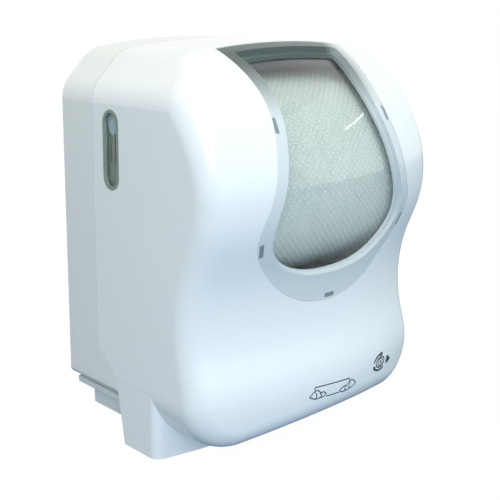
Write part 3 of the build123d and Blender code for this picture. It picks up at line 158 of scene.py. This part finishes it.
def moulded(name, tint, shade, roughness, grain_mm, relief, mottle_mm=40.0, ior=1.5):
    """Moulded plastic: a slow drift between two tints, and a surface grain of one real size."""
    made, tree, shader, places = new_material(name)
    drift = add(tree, "ShaderNodeTexNoise", {"Scale": 1000 / mottle_mm, "Detail": 3.0}, {"Vector": places})
    blend = add(tree, "ShaderNodeMix", {"data_type": "RGBA", 6: colour(tint), 7: colour(shade)},
                {0: drift.outputs["Fac"]})
    grain = add(tree, "ShaderNodeTexNoise", {"Scale": 1000 / grain_mm, "Detail": 2.0}, {"Vector": places})
    rough = add(tree, "ShaderNodeMapRange", {"To Min": roughness * 0.85, "To Max": roughness * 1.15},
                {"Value": grain.outputs["Fac"]})
    bump = add(tree, "ShaderNodeBump", {"Strength": 1.0, "Distance": relief}, {"Height": grain.outputs["Fac"]})
    shader.inputs["IOR"].default_value = ior
    tree.links.new(blend.outputs[2], shader.inputs["Base Color"])
    tree.links.new(rough.outputs[0], shader.inputs["Roughness"])
    tree.links.new(bump.outputs[0], shader.inputs["Normal"])
    return made


def dress(material, *names):
    """Gives CAD pieces their finish."""
    for name in names:
        nodes[name].material_slots[0].material = material


# Polished ABS gives the cover a tight highlight. The housing's fine spark-eroded skin spreads it.
gloss_abs = moulded("gloss_white_abs", "#f3f5f4", "#eff2f2", 0.16, 9.0, 0.00002)
satin_abs = moulded("satin_white_abs", "#eceeec", "#e7eae8", 0.30, 0.8, 0.00002)
dress(gloss_abs, "cover_shell")
dress(satin_abs, "rear_housing")

# ---------------------------------------------------------------- the window frame and its clips
# A grey ABS bezel, moulded with a slope from the face down to the clear window. Its colour is darkened
# to slate where it climbs over the top: painted shade, not a tint of the plastic. Five small clips of the same
# plastic are let into its rim.
frame_abs, tree, shader, places = new_material("smoke_grey_abs")
axes = add(tree, "ShaderNodeSeparateXYZ", None, {0: places})
# Painted shade: the base colour darkens towards the top of the bezel, except at its right end, standing in for the
# shade on its top band.
painted_shade_height = add(tree, "ShaderNodeMapRange",
            {"From Min": 0.120, "From Max": 0.178, "To Min": 0.0, "To Max": 1.0, "interpolation_type": "SMOOTHSTEP"},
            {"Value": axes.outputs["Z"]})
painted_shade_inboard = add(tree, "ShaderNodeMapRange",
              {"From Min": 0.078, "From Max": 0.050, "interpolation_type": "SMOOTHSTEP"},
              {"Value": axes.outputs["X"]})
painted_top_shade = add(tree, "ShaderNodeMath", {"operation": "MULTIPLY"}, {0: painted_shade_height.outputs[0], 1: painted_shade_inboard.outputs[0]})
grey_and_painted_shade = add(tree, "ShaderNodeMix", {"data_type": "RGBA", 6: colour("#d8dede"), 7: colour("#4f5c58")},
           {0: painted_top_shade.outputs[0]})
speck = add(tree, "ShaderNodeTexNoise", {"Scale": 900.0, "Detail": 2.0}, {"Vector": places})
bump = add(tree, "ShaderNodeBump", {"Distance": 0.00001}, {"Height": speck.outputs["Fac"]})
tree.links.new(grey_and_painted_shade.outputs[2], shader.inputs["Base Color"])
tree.links.new(bump.outputs[0], shader.inputs["Normal"])
shader.inputs["Roughness"].default_value = 0.25
dress(frame_abs, "window_frame")
clip_abs = moulded("mid_grey_abs", "#88979b", "#7e8c90", 0.4, 0.8, 0.00001)
dress(clip_abs, "frame_clips")


# ---------------------------------------------------------------- the clear windows
# Polycarbonate sheet, formed to the face and lightly smoked, and the two small side lenses.
def clear_plastic(name, tint, roughness):
    """Clear sheet: a glass-like shader that lets the lamps through to what is behind it."""
    made, tree, shader, places = new_material(name)
    shader.inputs["Base Color"].default_value = colour(tint)
    shader.inputs["Roughness"].default_value = roughness
    shader.inputs["IOR"].default_value = 1.45
    shader.inputs["Transmission Weight"].default_value = 1.0
    lamp_light = add(tree, "ShaderNodeBsdfTransparent", {"Color": colour(tint)})
    ray = add(tree, "ShaderNodeLightPath").outputs["Is Shadow Ray"]
    both = add(tree, "ShaderNodeMixShader", None, {0: ray, 1: shader.outputs[0], 2: lamp_light.outputs[0]})
    tree.links.new(both.outputs[0], tree.nodes["Material Output"].inputs["Surface"])
    return made


dress(clear_plastic("smoked_polycarbonate", "#e9eeec", 0.02), "window_lens")
dress(clear_plastic("side_polycarbonate", "#e6eded", 0.04), "side_lens_left", "side_lens_right")
dress(moulded("olive_grey_abs", "#929b8f", "#848d80", 0.35, 0.8, 0.00001), "side_bezel_left", "side_bezel_right")

# ---------------------------------------------------------------- the level gauges
# A thin moulded tongue clipped into the cover behind each side window, with two long slots. The lower
# half is a darker olive insert, against which the roll's edge is judged.
slate_abs = moulded("slate_blue_abs", "#a3b7c1", "#9bafb8", 0.4, 0.8, 0.00001)
olive_abs = moulded("dark_olive_abs", "#787f71", "#6f7669", 0.45, 0.8, 0.00001)
GAUGE_DEPTH = 0.0014
GAUGE_THICKNESS = 0.0012
GAUGE_CORNER_R = 0.0088
GAUGE_MARGIN = 0.001
GAUGE_LEAN = 0.0214
SLOT_SIZE = (0.026, 0.0022, 0.01)
SLOT_OFFSET = 0.0035
SLOT_RUN = -0.0015
INSERT_TOP = 0.0986
for hand, side in (("left", -1), ("right", 1)):
    low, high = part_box(f"side_lens_{hand}")
    middle = (low + high) / 2
    lean = side * GAUGE_LEAN
    bpy.ops.mesh.primitive_plane_add(size=1)
    gauge = bpy.context.object
    gauge.name = f"level_gauge_{hand}"
    gauge.dimensions = (high.z - low.z - GAUGE_MARGIN, high.y - low.y - GAUGE_MARGIN, 0)
    bpy.ops.object.transform_apply(location=False, rotation=False)
    bpy.ops.object.mode_set(mode="EDIT")
    bpy.ops.mesh.bevel(offset=GAUGE_CORNER_R, segments=10, affect="VERTICES")
    bpy.ops.mesh.extrude_region_move(TRANSFORM_OT_translate={"value": (0, 0, -side * GAUGE_THICKNESS)})
    bpy.ops.mesh.select_all(action="SELECT")
    bpy.ops.mesh.normals_make_consistent(inside=False)
    bpy.ops.mesh.bevel(offset=0.0002, segments=2, affect="EDGES")
    bpy.ops.object.mode_set(mode="OBJECT")
    for aside in (-SLOT_OFFSET, SLOT_OFFSET):
        bpy.ops.mesh.primitive_cube_add(size=1, location=(SLOT_RUN, aside, 0))
        slot = bpy.context.object
        slot.dimensions = SLOT_SIZE
        cut = gauge.modifiers.new("slot", "BOOLEAN")
        cut.operation = "DIFFERENCE"
        cut.object = slot
        bpy.context.view_layer.objects.active = gauge
        bpy.ops.object.modifier_apply(modifier="slot")
        bpy.data.objects.remove(slot)
    bpy.ops.object.select_all(action="DESELECT")
    gauge.select_set(True)
    bpy.context.view_layer.objects.active = gauge
    gauge.rotation_euler = (0, pi / 2 - lean, 0)
    gauge.location = middle - Vector((side * GAUGE_DEPTH, 0, 0))
    bpy.ops.object.transform_apply()
    bpy.ops.object.shade_smooth_by_angle(angle=radians(40))
    gauge.data.materials.append(slate_abs)
    gauge.data.materials.append(olive_abs)
    for face in gauge.data.polygons:
        face.material_index = int(face.center.z < INSERT_TOP)
    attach(gauge, "cover")

# ---------------------------------------------------------------- the towel roll
# A hard wound roll of white embossed paper towel, about 190 mm across on a card core. Staggered rows
# of small dots are pressed into the sheet, and the wound layers show at its ends.
ROLL_AXIS = (-0.115, 0.062)
ROLL_R = 0.095
END_EDGE = (0.0915, 0.0935)
DOT_ALONG = 0.0072
DOT_AROUND = 0.0034


def towel_paper(name):
    """Embossed paper: dots in staggered rows along and round the roll, soft creases, and laps at its ends. Its white
    is painted down to a grey-green shade that is darker in the creases, and the dot tips carry a painted highlight.

    The laps are about 0.5 mm apart, coarser than real ones, which would be too fine to show.
    """
    made, tree, shader, places = new_material(name)
    turned = add(tree, "ShaderNodeMapping", {"Location": (0, -ROLL_AXIS[0], -ROLL_AXIS[1])}, {"Vector": places})
    axes = add(tree, "ShaderNodeSeparateXYZ", None, {0: turned.outputs[0]})
    angle = add(tree, "ShaderNodeMath", {"operation": "ARCTAN2"}, {0: axes.outputs["Z"], 1: axes.outputs["Y"]})
    rows = add(tree, "ShaderNodeMath", {"operation": "MULTIPLY", 1: ROLL_R * pi / DOT_AROUND},
               {0: angle.outputs[0]})
    marks = add(tree, "ShaderNodeMath", {"operation": "MULTIPLY", 1: 2 * pi / DOT_ALONG}, {0: axes.outputs["X"]})
    wave_a = add(tree, "ShaderNodeMath", {"operation": "COSINE"}, {0: rows.outputs[0]})
    wave_b = add(tree, "ShaderNodeMath", {"operation": "COSINE"}, {0: marks.outputs[0]})
    dots = add(tree, "ShaderNodeMath", {"operation": "MULTIPLY"}, {0: wave_a.outputs[0], 1: wave_b.outputs[0]})
    peaks = add(tree, "ShaderNodeMapRange",
                {"From Min": 0.25, "From Max": 1.0, "interpolation_type": "SMOOTHSTEP"}, {"Value": dots.outputs[0]})
    across = add(tree, "ShaderNodeVectorMath", {"operation": "MULTIPLY", 1: (0, 1, 1)}, {0: turned.outputs[0]})
    reach = add(tree, "ShaderNodeVectorMath", {"operation": "LENGTH"}, {0: across.outputs[0]}).outputs["Value"]
    outside = add(tree, "ShaderNodeMapRange", {"From Min": END_EDGE[0], "From Max": END_EDGE[1]}, {"Value": reach})
    peaks = add(tree, "ShaderNodeMath", {"operation": "MULTIPLY"}, {0: peaks.outputs[0], 1: outside.outputs[0]})
    laps = add(tree, "ShaderNodeTexNoise", {"noise_dimensions": "1D", "Scale": 1800.0, "Detail": 2.0}, {"W": reach})
    ends = add(tree, "ShaderNodeMath", {"operation": "SUBTRACT", 0: 1.0}, {1: outside.outputs[0]})
    ridges = add(tree, "ShaderNodeMath", {"operation": "MULTIPLY"}, {0: laps.outputs["Fac"], 1: ends.outputs[0]})
    fibre = add(tree, "ShaderNodeTexNoise", {"Scale": 700.0, "Detail": 4.0}, {"Vector": places})
    crease = add(tree, "ShaderNodeTexNoise", {"Scale": 45.0, "Detail": 4.0, "Distortion": 0.6}, {"Vector": places})
    # Painted shade: the white paper is coloured grey-green for the dimness inside the cabinet, and darker or lighter
    # with the crease noise. The dot peaks are then lifted to a painted highlight.
    painted_crease_shade = add(tree, "ShaderNodeMix", {"data_type": "RGBA", 6: colour("#bac0b9"), 7: colour("#d0d3ce")},
                {0: crease.outputs["Fac"]})
    painted_dot_highlights = add(tree, "ShaderNodeMix", {"data_type": "RGBA", 7: colour("#eef0ed")},
               {0: peaks.outputs[0], 6: painted_crease_shade.outputs[2]})
    lapped = add(tree, "ShaderNodeMix", {"data_type": "RGBA", 7: colour("#9aa09a")},
                 {0: ridges.outputs[0], 6: painted_dot_highlights.outputs[2]})
    relief = add(tree, "ShaderNodeBump", {"Distance": 0.0007}, {"Height": peaks.outputs[0]})
    relief = add(tree, "ShaderNodeBump", {"Distance": 0.0004},
                 {"Height": ridges.outputs[0], "Normal": relief.outputs[0]})
    relief = add(tree, "ShaderNodeBump", {"Distance": 0.0006},
                 {"Height": crease.outputs["Fac"], "Normal": relief.outputs[0]})
    relief = add(tree, "ShaderNodeBump", {"Distance": 0.00008},
                 {"Height": fibre.outputs["Fac"], "Normal": relief.outputs[0]})
    tree.links.new(lapped.outputs[2], shader.inputs["Base Color"])
    tree.links.new(relief.outputs[0], shader.inputs["Normal"])
    shader.inputs["Roughness"].default_value = 0.85
    shader.inputs["Specular IOR Level"].default_value = 0.2
    return made


paper = towel_paper("embossed_towel_paper")
roll_low, roll_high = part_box("towel_roll")
core_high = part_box("roll_core")[1]
CORE_GAP = 0.0002
bpy.ops.mesh.primitive_plane_add(size=1)
roll = bpy.context.object
roll.name = "towel_roll_paper"
roll.scale = (roll_high.x - roll_low.x, roll_high.z - core_high.z - CORE_GAP, 1)
roll.rotation_euler = (pi / 2, 0, 0)
roll.location = (0, ROLL_AXIS[0], (roll_high.z + core_high.z + CORE_GAP) / 2)
bpy.ops.object.transform_apply()
bpy.ops.object.mode_set(mode="EDIT")
bpy.ops.mesh.bevel(offset=0.002, segments=3, affect="VERTICES")
bpy.ops.mesh.delete(type="ONLY_FACE")
bpy.ops.mesh.select_all(action="DESELECT")
shape = bmesh.from_edit_mesh(roll.data)
for edge in shape.edges:
    edge.select_set(abs(edge.verts[0].co.x - edge.verts[1].co.x) > 0.1)
bmesh.update_edit_mesh(roll.data)
bpy.ops.mesh.subdivide(number_cuts=59)
bpy.ops.mesh.select_all(action="SELECT")
bpy.ops.mesh.spin(steps=240, angle=2 * pi, center=(0, *ROLL_AXIS), axis=(1, 0, 0))
bpy.ops.mesh.select_all(action="SELECT")
bpy.ops.mesh.remove_doubles(threshold=0.00001)
bpy.ops.mesh.normals_make_consistent(inside=False)
bpy.ops.object.mode_set(mode="OBJECT")
billow = bpy.data.textures.new("slack_lap", "CLOUDS")
billow.noise_scale = 0.03
ripple = roll.modifiers.new("ripple", "DISPLACE")
ripple.texture = billow
ripple.texture_coords = "LOCAL"
ripple.strength = 0.0009
ripple.mid_level = 1.0
bpy.ops.object.modifier_apply(modifier="ripple")
bpy.ops.object.shade_smooth_by_angle(angle=radians(40))
roll.data.materials.append(paper)
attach(roll, "roll")
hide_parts("towel_roll")
# Wound kraft board: brown, matt and slightly fibrous.
dress(moulded("brown_card", "#b49a78", "#a58a68", 0.8, 0.6, 0.00004), "roll_core")

# ---------------------------------------------------------------- the threaded towel
# The free end of the same paper: it leaves the back of the roll, passes round the rear of the drum
# under its rubber bands, and ends just inside the mouth. It hangs slack enough to ripple a little.
DRUM_AXIS = (-0.100, -0.088)
ROLL_LEAVE_R = 0.0955
DRUM_WRAP_R = 0.0480
WEB_TIP = (-0.128, -0.158)
FEED_STEPS = 24
WRAP_STEPS = 40
EXIT_STEPS = 8
between = (DRUM_AXIS[0] - ROLL_AXIS[0], DRUM_AXIS[1] - ROLL_AXIS[1])
feed_turn = atan2(between[1], between[0]) + acos((ROLL_LEAVE_R - DRUM_WRAP_R) / hypot(*between))
out = (WEB_TIP[0] - DRUM_AXIS[0], WEB_TIP[1] - DRUM_AXIS[1])
exit_turn = atan2(out[1], out[0]) + acos(DRUM_WRAP_R / hypot(*out))
leave = Vector((0, ROLL_AXIS[0] + ROLL_LEAVE_R * cos(feed_turn), ROLL_AXIS[1] + ROLL_LEAVE_R * sin(feed_turn)))
meet = Vector((0, DRUM_AXIS[0] + DRUM_WRAP_R * cos(feed_turn), DRUM_AXIS[1] + DRUM_WRAP_R * sin(feed_turn)))
part = Vector((0, DRUM_AXIS[0] + DRUM_WRAP_R * cos(exit_turn), DRUM_AXIS[1] + DRUM_WRAP_R * sin(exit_turn)))
web_low, web_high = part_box("paper_web")
bpy.ops.mesh.primitive_plane_add(size=web_high.x - web_low.x)
web = bpy.context.object
web.name = "towel_web_paper"
bpy.ops.object.mode_set(mode="EDIT")
bpy.ops.mesh.select_all(action="DESELECT")
shape = bmesh.from_edit_mesh(web.data)
bmesh.ops.delete(shape, geom=[vert for vert in shape.verts if vert.co.y < 0], context="VERTS")
for vert in shape.verts:
    vert.co = (vert.co.x, leave.y, leave.z)
    vert.select_set(True)
for edge in shape.edges:
    edge.select_set(True)
bmesh.update_edit_mesh(web.data)
bpy.ops.mesh.subdivide(number_cuts=48)
for step in range(FEED_STEPS):
    bpy.ops.mesh.extrude_region_move(TRANSFORM_OT_translate={"value": (meet - leave) / FEED_STEPS})
# The spin operator turns against the sign of its angle, so this one runs from feed_turn down to exit_turn.
bpy.ops.mesh.spin(steps=WRAP_STEPS, angle=feed_turn - exit_turn, center=(0, *DRUM_AXIS), axis=(1, 0, 0))
for step in range(EXIT_STEPS):
    bpy.ops.mesh.extrude_region_move(
        TRANSFORM_OT_translate={"value": (Vector((0, *WEB_TIP)) - part) / EXIT_STEPS})
bpy.ops.mesh.select_all(action="SELECT")
bpy.ops.mesh.normals_make_consistent(inside=False)
bpy.ops.object.mode_set(mode="OBJECT")
slack = bpy.data.textures.new("slack_web", "CLOUDS")
slack.noise_scale = 0.05
flutter = web.modifiers.new("flutter", "DISPLACE")
flutter.texture = slack
flutter.texture_coords = "LOCAL"
flutter.strength = 0.00025
bpy.ops.object.modifier_apply(modifier="flutter")
ply = web.modifiers.new("ply", "SOLIDIFY")
ply.thickness = 0.0003
ply.offset = 0
bpy.ops.object.modifier_apply(modifier="ply")
bpy.ops.object.shade_smooth_by_angle(angle=radians(40))
web.data.materials.append(paper)
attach(web, "cabinet")
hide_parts("paper_web")

# ---------------------------------------------------------------- the roll arms and hubs
# White acetal arms on upright pins carry a flanged hub at each end of the roll. The same waxy, low
# gloss plastic serves the small moving parts of the feed.
arm_plastic = moulded("white_acetal", "#e9ebe6", "#e0e3de", 0.35, 0.8, 0.00001)
hub_plastic = moulded("natural_acetal", "#eceae2", "#e2e0d6", 0.3, 0.8, 0.00001)
dress(arm_plastic, "roll_arm_left", "roll_arm_right")
dress(hub_plastic, "roll_hub_left", "roll_hub_right", "drum_bearings", "feed_wheel", "ratchet_wheel", "pawl",
      "knife_cam", "knife_carrier", "pinch_arm_left", "pinch_arm_right", "transfer_bar")


# ---------------------------------------------------------------- the feed mechanism
# Pale grey ABS side plates carry a charcoal drum with rubber bands. Pins and shafts are bright drawn
# steel, springs and the knife a darker hard steel, and the lock is nickel plated.
def metal(name, tint, roughness, line_mm):
    """Bare metal with fine drawing lines along X."""
    made, tree, shader, places = new_material(name)
    along = add(tree, "ShaderNodeMapping", {"Scale": (0.02, 1, 1)}, {"Vector": places})
    lines = add(tree, "ShaderNodeTexNoise", {"Scale": 1000 / line_mm, "Detail": 2.0}, {"Vector": along.outputs[0]})
    rough = add(tree, "ShaderNodeMapRange", {"To Min": roughness * 0.7, "To Max": roughness * 1.3},
                {"Value": lines.outputs["Fac"]})
    bump = add(tree, "ShaderNodeBump", {"Distance": 0.00002}, {"Height": lines.outputs["Fac"]})
    tree.links.new(rough.outputs[0], shader.inputs["Roughness"])
    tree.links.new(bump.outputs[0], shader.inputs["Normal"])
    shader.inputs["Base Color"].default_value = colour(tint)
    shader.inputs["Metallic"].default_value = 1.0
    return made


steel = metal("drawn_steel", "#b9bcbe", 0.3, 0.4)
spring_steel = metal("spring_steel", "#9a9c9e", 0.25, 0.3)
nickel = metal("nickel_plated_zinc", "#c9c6bd", 0.2, 0.5)
plate_abs = moulded("pale_grey_abs", "#dce3e4", "#d3dadb", 0.4, 0.8, 0.00002)
drum_abs = moulded("charcoal_abs", "#33373a", "#2b2f31", 0.4, 0.8, 0.00002)
rubber = moulded("grip_rubber", "#6a6f72", "#5e6366", 0.7, 0.5, 0.00005)
dress(plate_abs, "chassis_side_left", "chassis_side_right", "chassis_back", "chute_lower", "chute_upper",
      "spring_cup")
dress(drum_abs, "drum_shell_upper", "drum_shell_lower", "drum_ends")
dress(rubber, "grip_bands", "pinch_rollers")
dress(steel, "arm_pins", "chassis_screws", "drum_shaft", "hinge_pins", "hub_axle_left", "hub_axle_right",
      "lock_screw", "pawl_pin", "pinch_rod", "pinch_shaft", "pinch_spreader", "strike_pin")
dress(spring_steel, "knife_blade", "pinch_coils", "return_spring")
dress(nickel, "lock_barrel", "lock_body", "lock_cam", "lock_nut")


# ---------------------------------------------------------------- the printed symbols
# Two plain signs are pad printed in dark grey low on the cover: hands holding a sheet, and turning
# arrows round a knob. Each is a film of ink on the curved face.
INK = 0.00008
cover = nodes["cover_shell"]


def on_cover(x, z, proud=0.0):
    """The point of the cover's face straight behind (x, z)."""
    hit, place, normal, face = cover.ray_cast(Vector((x, -0.4, z)), Vector((0, 1, 0)))
    return place + normal * proud


def stroke(outline, width, closed=False):
    """Quads of one pen stroke along points (x, z), as pairs of edge points."""
    pairs = []
    count = len(outline)
    for i, (x, z) in enumerate(outline):
        before = outline[i - 1] if i or closed else (x, z)
        after = outline[(i + 1) % count] if i < count - 1 or closed else (x, z)
        run = Vector((after[0] - before[0], after[1] - before[1])).normalized()
        half = width[i] / 2 if isinstance(width, list) else width / 2
        pairs.append(((x - run.y * half, z + run.x * half), (x + run.y * half, z - run.x * half)))
    return pairs + pairs[:1] if closed else pairs


def arc(centre, radii, start, end, steps=20):
    """Points along part of an ellipse, in degrees."""
    turns = [radians(start + (end - start) * i / steps) for i in range(steps + 1)]
    return [(centre[0] + radii[0] * cos(t), centre[1] + radii[1] * sin(t)) for t in turns]


def printed(name, strokes, ink):
    """One print from its strokes, laid on the cover as a thin film."""
    film = bmesh.new()
    for pairs in strokes:
        for (a, b), (c, d) in zip(pairs, pairs[1:]):
            corners = [a, b, d, c]
            film.faces.new([film.verts.new(on_cover(x, z, INK)) for x, z in corners])
    bmesh.ops.remove_doubles(film, verts=film.verts, dist=0.00001)
    mesh = bpy.data.meshes.new(name)
    film.to_mesh(mesh)
    film.free()
    piece = bpy.data.objects.new(name, mesh)
    bpy.context.scene.collection.objects.link(piece)
    bpy.context.view_layer.objects.active = piece
    bpy.ops.object.select_all(action="DESELECT")
    piece.select_set(True)
    bpy.ops.object.mode_set(mode="EDIT")
    bpy.ops.mesh.select_all(action="SELECT")
    bpy.ops.mesh.normals_make_consistent(inside=False)
    bpy.ops.object.mode_set(mode="OBJECT")
    if sum(face.normal.y for face in piece.data.polygons) > 0:
        piece.data.flip_normals()
    solid = piece.modifiers.new("film", "SOLIDIFY")
    solid.thickness = INK
    bpy.ops.object.modifier_apply(modifier="film")
    piece.data.materials.append(ink)
    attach(piece, "cover")
    return piece


ink = moulded("dark_pad_print_ink", "#3a4044", "#33393d", 0.45, 0.4, 0.000004)
THIN = 0.0011


def drawn(points, scale=0.001):
    """A smooth run through listed points in millimetres, with extra points between them."""
    fine = []
    for (x0, z0), (x1, z1) in zip(points, points[1:]):
        steps = max(1, round(((x1 - x0) ** 2 + (z1 - z0) ** 2) ** 0.5 / 1.5))
        fine += [((x0 + (x1 - x0) * i / steps) * scale, (z0 + (z1 - z0) * i / steps) * scale) for i in range(steps)]
    return fine + [(points[-1][0] * scale, points[-1][1] * scale)]


left_hand = [(-34, -127.2), (-29, -123.6), (-25, -122.2), (-22, -123.6), (-20, -126), (-15.5, -126.2), (-12, -129.6),
             (-16, -131.2), (-22, -131), (-26.5, -130.8), (-30, -129.2), (-34, -127.2)]
right_hand = [(31, -131.2), (27, -127), (23.5, -125.6), (20, -127), (17, -129.2), (12, -129), (6, -131.6),
              (10, -134.2), (16, -134.4), (21, -134.2), (26, -133), (31, -131.2)]
sheet_top = [(-27.4, -124), (-28, -118.8), (20.2, -123), (21, -127)]
pictogram = [stroke(drawn(outline), THIN) for outline in (left_hand, right_hand, sheet_top)]
pictogram += [stroke(drawn([(-12, -131.8), (6, -133.2)]), THIN)]
pictogram += [stroke(drawn(line), THIN) for line in (
    [(-26, -124.5), (-24.5, -128.5), (-26, -130.5)], [(-21, -126), (-18, -129), (-20, -130.5)],
    [(22, -127.5), (20, -131), (21.5, -133.6)], [(16, -130), (13.5, -132), (15.5, -133.6)])]
printed("hands_and_sheet_print", pictogram, ink)

KNOB = (0.0742, -0.1232)
WIDE = 1.5
turning = [
    stroke(arc(KNOB, (0.0052 * WIDE, 0.0052), 0, 360, 40), 0.0015),
    stroke(arc(KNOB, (0.0030 * WIDE, 0.0036), 0, 360, 32), 0.0011),
    stroke([(KNOB[0], KNOB[1] + 0.0022), (KNOB[0], KNOB[1]), (KNOB[0], KNOB[1] - 0.0022)], [0.0004, 0.0030, 0.0004]),
    stroke(arc(KNOB, (0.0082 * WIDE, 0.0082), 165, 88), 0.0022),
    stroke([(KNOB[0] + 0.0002, KNOB[1] + 0.0082), (KNOB[0] + 0.0052, KNOB[1] + 0.0076)], [0.0056, 0.0001]),
    stroke(arc(KNOB, (0.0082 * WIDE, 0.0082), 305, 210), 0.0022),
    stroke([(KNOB[0] - 0.0102, KNOB[1] - 0.0044), (KNOB[0] - 0.0138, KNOB[1] - 0.0012)], [0.0056, 0.0001]),
    stroke([(KNOB[0] + 0.0125, KNOB[1] - 0.0015), (KNOB[0] + 0.0165, KNOB[1] - 0.0022)], [0.0080, 0.0070]),
    stroke([(KNOB[0] + 0.0165, KNOB[1] - 0.0022), (KNOB[0] + 0.0215, KNOB[1] - 0.0030)], [0.0070, 0.0001]),
]
printed("turning_arrows_print", turning, ink)
